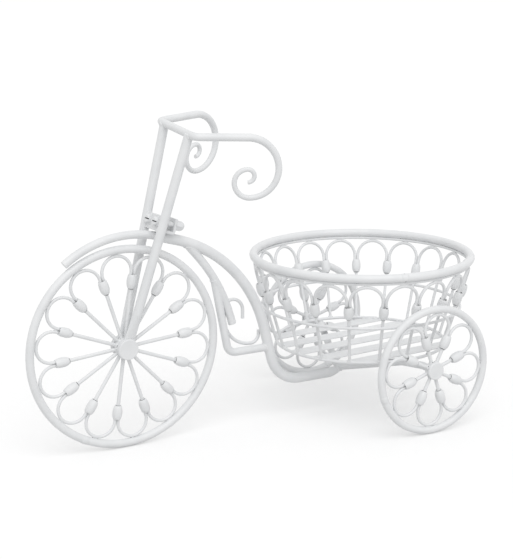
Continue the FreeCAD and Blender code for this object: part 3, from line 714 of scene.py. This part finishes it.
@dataclass(frozen=True)
class SeatWeld:
    """Weld metal where a node or a built piece sits on a node of the frame, found on their own meshes."""

    node: str
    carrier: str
    radius: float
    spacing: float
    # Share of lumps with chips and painted crevice shade.
    chip_and_shade: float = 0.5
    reach: float = 0.32
    sample: float = 0.8
    margin: float = 2.0

    def samples(self) -> np.ndarray:
        """Return points along the edges of the node's mesh, metres."""
        mesh = seat_mesh(self.node)
        verts = np.empty(len(mesh.vertices) * 3)
        mesh.vertices.foreach_get("co", verts)
        verts = verts.reshape(-1, 3)
        edges = np.empty(len(mesh.edges) * 2, np.int32)
        mesh.edges.foreach_get("vertices", edges)
        first, second = verts[edges.reshape(-1, 2)].transpose(1, 0, 2)
        low, high = (np.array(corner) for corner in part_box(self.carrier))
        margin = self.margin * MM
        least, most = np.minimum(first, second), np.maximum(first, second)
        near = np.all((most > low - margin) & (least < high + margin), axis=1)
        first, second = first[near], second[near]
        lengths = np.linalg.norm(second - first, axis=1)
        cuts = np.maximum(1, np.ceil(lengths / (self.sample * MM)).astype(int))
        runs = [np.empty((0, 3))]
        for count in np.unique(cuts):
            chosen = cuts == count
            steps = (np.arange(count) / count)[None, :, None]
            starts = first[chosen][:, None, :]
            spans = (second - first)[chosen][:, None, :]
            runs.append((starts + spans * steps).reshape(-1, 3))
        return np.concatenate(runs)

    def places(self) -> list[Vector]:
        """Return points where the two surfaces meet, one per cell of the spacing, metres."""
        mesh = seat_mesh(self.carrier)
        tree = BVHTree.FromPolygons([v.co for v in mesh.vertices], [p.vertices for p in mesh.polygons])
        found = []
        for point in self.samples():
            nearest, _, _, gap = tree.find_nearest(point, self.reach * MM)
            if nearest is not None:
                found.append((gap, (nearest + Vector(point)) / 2))
        found.sort(
            key=lambda pair: (
                round(pair[0] / MM, GAP_DIGITS), *(round(value, PLACE_DIGITS) for value in pair[1])
            )
        )
        kept: dict[tuple[int, ...], Vector] = {}
        for _, middle in found:
            cell = tuple(math.floor(value / (self.spacing * MM)) for value in middle)
            kept.setdefault(cell, middle)
        return list(kept.values())


@dataclass(frozen=True)
class WeldRun:
    """Welds of one sub-assembly, flowed together and coated over."""

    name: str
    body: Body
    slot: Slot
    voxel: float = 0.45
    smoothing: int = 5
    smoothing_share: float = 0.5
    size_range: Range = (0.85, 1.15)
    # Layer values of lumps with and without chips and painted crevice shade.
    chip_and_shade_value: float = 0.55
    sound_value: float = 0.12

    def build(self, seats: list[SeatWeld], finishes: Finishes, seed: int) -> bpy.types.Object:
        """Build the welds' piece.

        Args:
            seats: seats that are welded.
            finishes: materials of the planter.
            seed: seed of the lumps' sizes and of their chips and painted crevice shade.

        Returns:
            The piece.
        """
        draw = random.Random(seed)
        places, sizes, chipped = [], [], []
        for seat in seats:
            for place in seat.places():
                places.append(place)
                sizes.append(seat.radius * MM * draw.uniform(*self.size_range))
                chipped.append(draw.random() < seat.chip_and_shade)
        skin = self.flowed(np.array(places), np.array(sizes))
        layer = skin.verts.layers.float.new(CHIP_AND_SHADE_LAYER)
        nearest = KDTree(len(places))
        for index, place in enumerate(places):
            nearest.insert(place, index)
        nearest.balance()
        for vert in skin.verts:
            lump = nearest.find(vert.co)[1]
            # Chosen lumps get near-black in the coat: chips and painted shade of the crevices beside the
            # welds.
            vert[layer] = self.chip_and_shade_value if chipped[lump] else self.sound_value
        return finished_piece(skin, self.name, [finishes.weld], self.body, self.slot)

    def flowed(self, places: np.ndarray, sizes: np.ndarray) -> bmesh.types.BMesh:
        """Fuse round lumps into one smooth skin.

        Args:
            places: middles of the lumps, metres.
            sizes: radii of the lumps, metres.

        Returns:
            The fused skin.
        """
        ball = bmesh.new()
        bmesh.ops.create_icosphere(ball, subdivisions=2, radius=1.0)
        corners = np.array([vert.co for vert in ball.verts])
        faces = np.array([[vert.index for vert in face.verts] for face in ball.faces])
        ball.free()
        verts = places[:, None, :] + sizes[:, None, None] * corners[None, :, :]
        starts = np.arange(len(places)) * len(corners)
        mesh = bpy.data.meshes.new(self.name + "_lumps")
        corners_of_faces = faces[None, :, :] + starts[:, None, None]
        mesh.from_pydata(verts.reshape(-1, 3), [], corners_of_faces.reshape(-1, 3))
        lumps = bpy.data.objects.new(mesh.name, mesh)
        bpy.context.scene.collection.objects.link(lumps)
        remesh = lumps.modifiers.new("flow", "REMESH")
        remesh.mode = "VOXEL"
        remesh.voxel_size = self.voxel * MM
        bpy.context.view_layer.update()
        flowed = bpy.data.meshes.new_from_object(lumps.evaluated_get(bpy.context.evaluated_depsgraph_get()))
        skin = bmesh.new()
        skin.from_mesh(flowed)
        for _ in range(self.smoothing):
            bmesh.ops.smooth_vert(
                skin, verts=skin.verts, factor=self.smoothing_share,
                use_axis_x=True, use_axis_y=True, use_axis_z=True,
            )
        bpy.data.objects.remove(lumps)
        bpy.data.meshes.remove(mesh)
        bpy.data.meshes.remove(flowed)
        return skin


# Sub-assemblies


@dataclass(frozen=True)
class PetalWheel:
    """Wheel of spokes, barrel beads and petal wires inside a round rim."""

    body: Body
    hub: tuple[float, float, float]
    rim_radius: float
    rim_rod: float
    spoke_count: int
    spoke_start: float
    joint_angle: float
    seed: int
    petal_wire: float = 3.2
    seat_gap: float = 0.05
    petal_lead: float = 0.6
    bead_set_back: float = 1.4
    bead_turns: Range = (0.2, 2.9)

    def bead_mouth(self) -> float:
        """Return the distance of the beads' petal ends from the hub, mm."""
        half = math.pi / self.spoke_count
        crown = self.rim_radius - self.rim_rod / 2 - self.petal_wire / 2 - self.seat_gap
        centre = (crown + self.petal_wire / 2 + self.seat_gap) / (1.0 + math.sin(half))
        return centre * math.cos(half) - self.petal_lead

    def outward(self, angle: float) -> Vector:
        """Return the direction at an angle from the back towards the top, degrees."""
        return Vector((math.cos(math.radians(angle)), 0.0, math.sin(math.radians(angle))))

    def at(self, angle: float, distance: float) -> Vector:
        """Return the place at an angle and a distance from the hub, metres."""
        return (Vector(self.hub) + self.outward(angle) * distance) * MM

    def build_beads(self, bead: BarrelBead, finishes: Finishes) -> None:
        """Build the barrels that clamp spokes and petals.

        Args:
            bead: sizes of a barrel.
            finishes: materials of the planter.
        """
        stem_end = self.bead_mouth() - self.bead_set_back - bead.length
        angles = [self.spoke_start + 360.0 * index / self.spoke_count for index in range(self.spoke_count)]
        places = [facing(self.at(angle, stem_end), self.outward(angle), ACROSS) for angle in angles]
        bm = bead.row(places, self.bead_turns, random.Random(self.seed))
        # Barrels take the coat with chips and painted opening shade, and dark steel as bare metal and
        # painted shade in their bores.
        finished_piece(
            bm, self.body.value + "_barrels", [finishes.chipped, finishes.steel], self.body, Slot.WHEEL,
            self.body.value + "_beads",
        )

    def build_joint(self, finishes: Finishes) -> None:
        """Build the weld that closes the rim.

        Args:
            finishes: materials of the planter.
        """
        tangent = Vector((-self.outward(self.joint_angle).z, 0.0, self.outward(self.joint_angle).x))
        bm = bmesh.new()
        bm.verts.layers.float.new(CHIP_AND_SHADE_LAYER)
        place = facing(self.at(self.joint_angle, self.rim_radius), tangent, ACROSS)
        RodJoint(self.rim_rod).add(bm, place, self.seed)
        finished_piece(bm, self.body.value + "_rim_joint", [finishes.weld], self.body, Slot.WHEEL)

    def build_welds(self, finishes: Finishes) -> None:
        """Build the welds of petals on the rim and of spokes on the hub.

        Args:
            finishes: materials of the planter.
        """
        name = self.body.value
        seats = [
            SeatWeld(name + "_petals", name + "_rim", radius=1.0, spacing=1.0, chip_and_shade=0.3),
            SeatWeld(name + "_spokes", name + "_hub", radius=1.15, spacing=1.0, chip_and_shade=0.35),
        ]
        WeldRun(name + "_welds", self.body, Slot.WHEEL).build(seats, finishes, self.seed)

    def dress(self, bead: BarrelBead, finishes: Finishes) -> None:
        """Build everything that the wheel carries beyond its nodes.

        Args:
            bead: sizes of a barrel.
            finishes: materials of the planter.
        """
        self.build_beads(bead, finishes)
        self.build_joint(finishes)
        self.build_welds(finishes)


@dataclass(frozen=True)
class WireBasket:
    """Flaring basket of ribs, barrel beads and arches under a round rim."""

    axis_x: float = 127.15
    count: int = 19
    start: float = 2.4
    flare: float = 16.4748
    apex_height: float = -226.664
    bead_mouth: float = 374.588
    rim_radius: float = 112.0
    rim_rod: float = 8.4
    rim_height: float = 161.95
    joint_angle: float = 258.0
    joint_rise: float = 0.2
    bead_turns: Range = (-0.7, 0.7)
    slat_count: int = 5
    slat_pitch: float = 30.0
    slat_width: float = 17.0
    slat_shift: float = -2.5
    slat_turn: float = 4.0
    slat_steps: int = 8
    slat_edge: float = 0.3
    slat_sharp: float = 30.0
    seed: int = 41

    def build_beads(self, bead: BarrelBead, finishes: Finishes) -> None:
        """Build the barrels between ribs and arches.

        Args:
            bead: sizes of a barrel.
            finishes: materials of the planter.
        """
        apex = Vector((self.axis_x, 0.0, self.apex_height))
        slope = math.radians(self.flare)
        places = []
        for index in range(self.count):
            angle = math.radians(self.start + 360.0 * index / self.count)
            out = Vector((math.cos(angle), math.sin(angle), 0.0))
            along = out * math.sin(slope) + Vector((0, 0, math.cos(slope)))
            places.append(facing((apex + along * (self.bead_mouth - bead.length)) * MM, along, -out))
        bm = bead.row(places, self.bead_turns, random.Random(self.seed))
        # Barrels take the coat with chips and painted opening shade, and dark steel as bare metal and
        # painted shade in their bores.
        finished_piece(
            bm, "basket_barrels", [finishes.chipped, finishes.steel], Body.FRAME, Slot.BASKET,
            "basket_beads",
        )

    def build_slats(self, finishes: Finishes) -> None:
        """Build the floor's slats, a little askew, with their ends on the circle of the slats they replace.

        Args:
            finishes: materials of the planter.
        """
        low, high = (Vector(corner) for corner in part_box("basket_slats"))
        radius = (high.x - low.x) / 2
        bm = bmesh.new()
        for index in range(self.slat_count):
            middle = (index - (self.slat_count - 1) / 2) * self.slat_pitch + self.slat_shift
            grid = bmesh.ops.create_grid(bm, x_segments=1, y_segments=self.slat_steps, size=0.5)
            for vert in grid["verts"]:
                side = (middle + vert.co.y * self.slat_width) * MM
                vert.co = (math.copysign(math.sqrt(radius ** 2 - side ** 2), vert.co.x), side, 0.0)
        lifted = bmesh.ops.extrude_face_region(bm, geom=bm.faces[:])["geom"]
        top = [part for part in lifted if isinstance(part, bmesh.types.BMVert)]
        bmesh.ops.translate(bm, verts=top, vec=(0.0, 0.0, high.z - low.z))
        bmesh.ops.recalc_face_normals(bm, faces=bm.faces)
        rims = [edge for edge in bm.edges if edge.calc_face_angle(0.0) > math.radians(self.slat_sharp)]
        bmesh.ops.bevel(
            bm, geom=rims, offset=self.slat_edge * MM, segments=2, profile=0.5,
            affect="EDGES", material=-1,
        )
        turn = Matrix.Rotation(math.radians(self.slat_turn), 4, "Z")
        place = Matrix.Translation((self.axis_x * MM, 0.0, low.z)) @ turn
        bmesh.ops.transform(bm, matrix=place, verts=bm.verts)
        slats = finished_piece(
            bm, "basket_floor_slats", [finishes.coats[Slot.BASKET]], Body.FRAME, Slot.BASKET,
            "basket_slats",
        )
        slats.data.shade_flat()

    def build_joint(self, finishes: Finishes) -> None:
        """Build the weld that closes the basket's rim.

        Args:
            finishes: materials of the planter.
        """
        angle = math.radians(self.joint_angle)
        out = Vector((math.cos(angle), math.sin(angle), 0.0))
        middle = (Vector((self.axis_x, 0.0, self.rim_height)) + out * self.rim_radius) * MM
        bm = bmesh.new()
        bm.verts.layers.float.new(CHIP_AND_SHADE_LAYER)
        place = facing(middle, Vector((-out.y, out.x, 0.0)), out)
        RodJoint(self.rim_rod, rise=self.joint_rise).add(bm, place, self.seed)
        finished_piece(bm, "basket_rim_joint", [finishes.weld], Body.FRAME, Slot.BASKET)

    def build_welds(self, finishes: Finishes) -> None:
        """Build the welds between rings, ribs, arches and slats.

        Args:
            finishes: materials of the planter.
        """
        seats = [
            SeatWeld("basket_arches", "basket_top_ring", radius=1.25, spacing=1.5, chip_and_shade=0.1),
            SeatWeld("basket_top_ring", "basket_rim", radius=1.4, spacing=31.0, chip_and_shade=0.2),
            SeatWeld("basket_mid_ring", "basket_ribs", radius=1.3, spacing=1.6, chip_and_shade=0.15),
            SeatWeld("basket_ribs", "basket_bottom_ring", radius=1.3, spacing=1.2, chip_and_shade=0.15),
            SeatWeld("basket_floor_slats", "basket_bottom_ring", radius=1.1, spacing=3.4, chip_and_shade=0.1),
        ]
        WeldRun("basket_welds", Body.FRAME, Slot.BASKET).build(seats, finishes, self.seed)

    def dress(self, bead: BarrelBead, finishes: Finishes) -> None:
        """Build everything that the basket carries beyond its nodes.

        Args:
            bead: sizes of a barrel.
            finishes: materials of the planter.
        """
        self.build_beads(bead, finishes)
        self.build_slats(finishes)
        self.build_joint(finishes)
        self.build_welds(finishes)


@dataclass(frozen=True)
class RodFrame:
    """Welded frame of bent rods, with the fork bolted to its front end."""

    seed: int = 77
    fork_foot: tuple[float, float, float] = (-143.35, 0.0, 100.0)
    fork_lean: float = 15.9
    bolt_height: float = 125.25
    bolt_side: float = 8.06
    slot_floor: float = -4.4
    slot_size: tuple[float, float, float] = (0.4, 8.2, 1.12)

    def build_slot_shade(self, finishes: Finishes) -> None:
        """Build near-black plates on the floors of the bolts' slots, painted shade in the slots.

        Args:
            finishes: materials of the planter.
        """
        lean = Matrix.Rotation(math.radians(self.fork_lean), 4, "Y")
        fork = Matrix.Translation(Vector(self.fork_foot) * MM) @ lean
        size = Matrix.Diagonal((*self.slot_size, 1.0))
        bm = bmesh.new()
        for side in (-self.bolt_side, self.bolt_side):
            middle = Matrix.Translation(Vector((self.slot_floor, side, self.bolt_height)) * MM)
            bmesh.ops.create_cube(bm, size=MM, matrix=fork @ middle @ size)
        # Near-black plates in the slots: painted shade.
        finished_piece(bm, "bolt_slot_shade", [finishes.steel], Body.FRAME, Slot.FASTENER)

    def seats(self) -> list[SeatWeld]:
        """Return the seats of the frame's rods, fork and handlebar."""
        return [
            SeatWeld("fork_left_leg", "handlebar", radius=1.2, spacing=0.9, chip_and_shade=0.1),
            SeatWeld("fork_right_leg", "handlebar", radius=1.0, spacing=0.9, chip_and_shade=0.0),
            SeatWeld("fork_bridge_plate", "fork_left_leg", radius=1.1, spacing=0.9, chip_and_shade=0.15),
            SeatWeld("fork_bridge_plate", "fork_right_leg", radius=1.1, spacing=0.9, chip_and_shade=0.15),
            SeatWeld("head_bracket", "main_tube", radius=1.2, spacing=1.0, chip_and_shade=0.3),
            SeatWeld("mudguard_tail", "main_tube", radius=0.9, spacing=0.8, chip_and_shade=0.0),
            SeatWeld("down_tube", "mudguard_tail", radius=0.9, spacing=0.8, chip_and_shade=0.0),
            SeatWeld("down_tube", "main_tube", radius=1.1, spacing=0.8, chip_and_shade=0.03),
            SeatWeld("frame_scroll", "mudguard_tail", radius=1.4, spacing=1.6, chip_and_shade=0.1),
            SeatWeld("frame_scroll", "down_tube", radius=1.4, spacing=1.6, chip_and_shade=0.1),
            SeatWeld("frame_scroll", "main_tube", radius=1.4, spacing=1.6, chip_and_shade=0.1),
            SeatWeld("rear_yoke", "main_tube", radius=1.5, spacing=0.9, chip_and_shade=0.1),
            SeatWeld("basket_floor_slats", "rear_yoke", radius=1.4, spacing=2.6, chip_and_shade=0.1),
            SeatWeld("rear_yoke", "basket_bottom_ring", radius=1.4, spacing=1.6, chip_and_shade=0.1),
        ]

    def dress(self, finishes: Finishes) -> None:
        """Build the welds of the frame and the painted shade in the slots of its bolts.

        Args:
            finishes: materials of the planter.
        """
        self.build_slot_shade(finishes)
        WeldRun("frame_welds", Body.FRAME, Slot.FRAME).build(self.seats(), finishes, self.seed)


@dataclass(frozen=True)
class Studio:
    """Plain white room with a soft lamp and the photograph's camera."""

    camera_place: tuple[float, float, float] = (-0.69381, -1.22427, 0.48536)
    camera_yaw: float = 29.61
    camera_pitch: float = 13.41
    lens: float = 93.5
    sensor: float = 36.0
    floor_size: float = 30.0
    floor_colour: Colour = (0.70, 0.70, 0.70)
    floor_lift: float = 0.30
    dome_strength: float = 0.78
    lamp_strength: float = 1.05
    lamp_spread: float = 55.0
    lamp_tilt: tuple[float, float, float] = (38.0, -14.0, 0.0)

    def direct_rays(self, tree: bpy.types.NodeTree) -> bpy.types.NodeSocket:
        """Add a value that is 1 where the camera or a reflection sees a surface.

        Args:
            tree: tree that gets the nodes.

        Returns:
            The value socket.
        """
        path = tree.nodes.new("ShaderNodeLightPath")
        total = path.outputs["Is Camera Ray"]
        for name in ("Is Glossy Ray", "Is Transmission Ray"):
            larger = tree.nodes.new("ShaderNodeMath")
            larger.operation = "MAXIMUM"
            tree.links.new(total, larger.inputs[0])
            tree.links.new(path.outputs[name], larger.inputs[1])
            total = larger.outputs[0]
        return total

    def build_world(self) -> None:
        """Light the scene with a plain dome that is white to the camera."""
        world = bpy.data.worlds.new("studio")
        world.use_nodes = True
        tree = world.node_tree
        dome = tree.nodes["Background"]
        dome.inputs["Color"].default_value = WHITE
        dome.inputs["Strength"].default_value = self.dome_strength
        white = tree.nodes.new("ShaderNodeBackground")
        white.inputs["Color"].default_value = WHITE
        white.inputs["Strength"].default_value = 1.0
        mix = tree.nodes.new("ShaderNodeMixShader")
        tree.links.new(self.direct_rays(tree), mix.inputs[0])
        tree.links.new(dome.outputs[0], mix.inputs[1])
        tree.links.new(white.outputs[0], mix.inputs[2])
        tree.links.new(mix.outputs[0], tree.nodes["World Output"].inputs["Surface"])
        bpy.context.scene.world = world

    def build_floor(self) -> None:
        """Build a pale floor that shows white and keeps the shadow."""
        bm = bmesh.new()
        bmesh.ops.create_grid(bm, x_segments=1, y_segments=1, size=self.floor_size)
        mesh = bpy.data.meshes.new("floor")
        bm.to_mesh(mesh)
        bm.free()
        material = bpy.data.materials.new("floor")
        material.use_nodes = True
        tree = material.node_tree
        tree.nodes.remove(tree.nodes["Principled BSDF"])
        matt = tree.nodes.new("ShaderNodeBsdfDiffuse")
        matt.inputs["Color"].default_value = (*self.floor_colour, 1.0)
        lift = tree.nodes.new("ShaderNodeEmission")
        level = tree.nodes.new("ShaderNodeMath")
        level.operation = "MULTIPLY"
        level.inputs[1].default_value = self.floor_lift
        total = tree.nodes.new("ShaderNodeAddShader")
        tree.links.new(self.direct_rays(tree), level.inputs[0])
        tree.links.new(level.outputs[0], lift.inputs["Strength"])
        tree.links.new(matt.outputs[0], total.inputs[0])
        tree.links.new(lift.outputs[0], total.inputs[1])
        tree.links.new(total.outputs[0], tree.nodes["Material Output"].inputs["Surface"])
        mesh.materials.append(material)
        floor = bpy.data.objects.new("floor", mesh)
        bpy.context.scene.collection.objects.link(floor)

    def build_lamp(self) -> None:
        """Hang one wide soft lamp above the camera and a little to its right."""
        lamp = bpy.data.lights.new("soft_lamp", "SUN")
        lamp.energy = self.lamp_strength
        lamp.angle = math.radians(self.lamp_spread)
        hung = bpy.data.objects.new("soft_lamp", lamp)
        hung.rotation_euler = [math.radians(angle) for angle in self.lamp_tilt]
        bpy.context.scene.collection.objects.link(hung)

    def build_camera(self) -> None:
        """Set up the camera at the photograph's viewing angle."""
        data = bpy.data.cameras.new("camera")
        data.lens = self.lens
        data.sensor_width = self.sensor
        camera = bpy.data.objects.new("camera", data)
        camera.location = self.camera_place
        tilt = math.radians(90.0 - self.camera_pitch)
        camera.rotation_euler = (tilt, 0.0, math.radians(-self.camera_yaw))
        bpy.context.scene.collection.objects.link(camera)
        bpy.context.scene.camera = camera

    def build(self) -> None:
        """Build world, floor, lamp and camera."""
        bpy.context.scene.view_settings.view_transform = "Standard"
        self.build_camera()
        self.build_world()
        self.build_floor()
        self.build_lamp()


def main() -> None:
    """Build the studio, coat the frame and dress each sub-assembly in order."""
    logging.basicConfig(level=logging.INFO, format="%(message)s")
    Studio().build()
    finishes = Finishes()
    finishes.coat_nodes()
    bead = BarrelBead()
    rear = {"rim_radius": 61.75, "rim_rod": 7.5, "spoke_count": 8, "spoke_start": 18.2}
    front = {"rim_radius": 96.0, "rim_rod": 8.0, "spoke_count": 14, "spoke_start": 4.9}
    wheels = (
        PetalWheel(Body.FRONT_WHEEL, (-143.35, 0.0, 100.0), joint_angle=243.0, seed=11, **front),
        PetalWheel(Body.REAR_LEFT_WHEEL, (137.65, -114.912, 65.5), joint_angle=200.0, seed=23, **rear),
        PetalWheel(Body.REAR_RIGHT_WHEEL, (137.65, 114.912, 65.5), joint_angle=290.0, seed=31, **rear),
    )
    for wheel in wheels:
        wheel.dress(bead, finishes)
    WireBasket().dress(bead, finishes)
    RodFrame().dress(finishes)


if __name__ == "__main__":
    main()
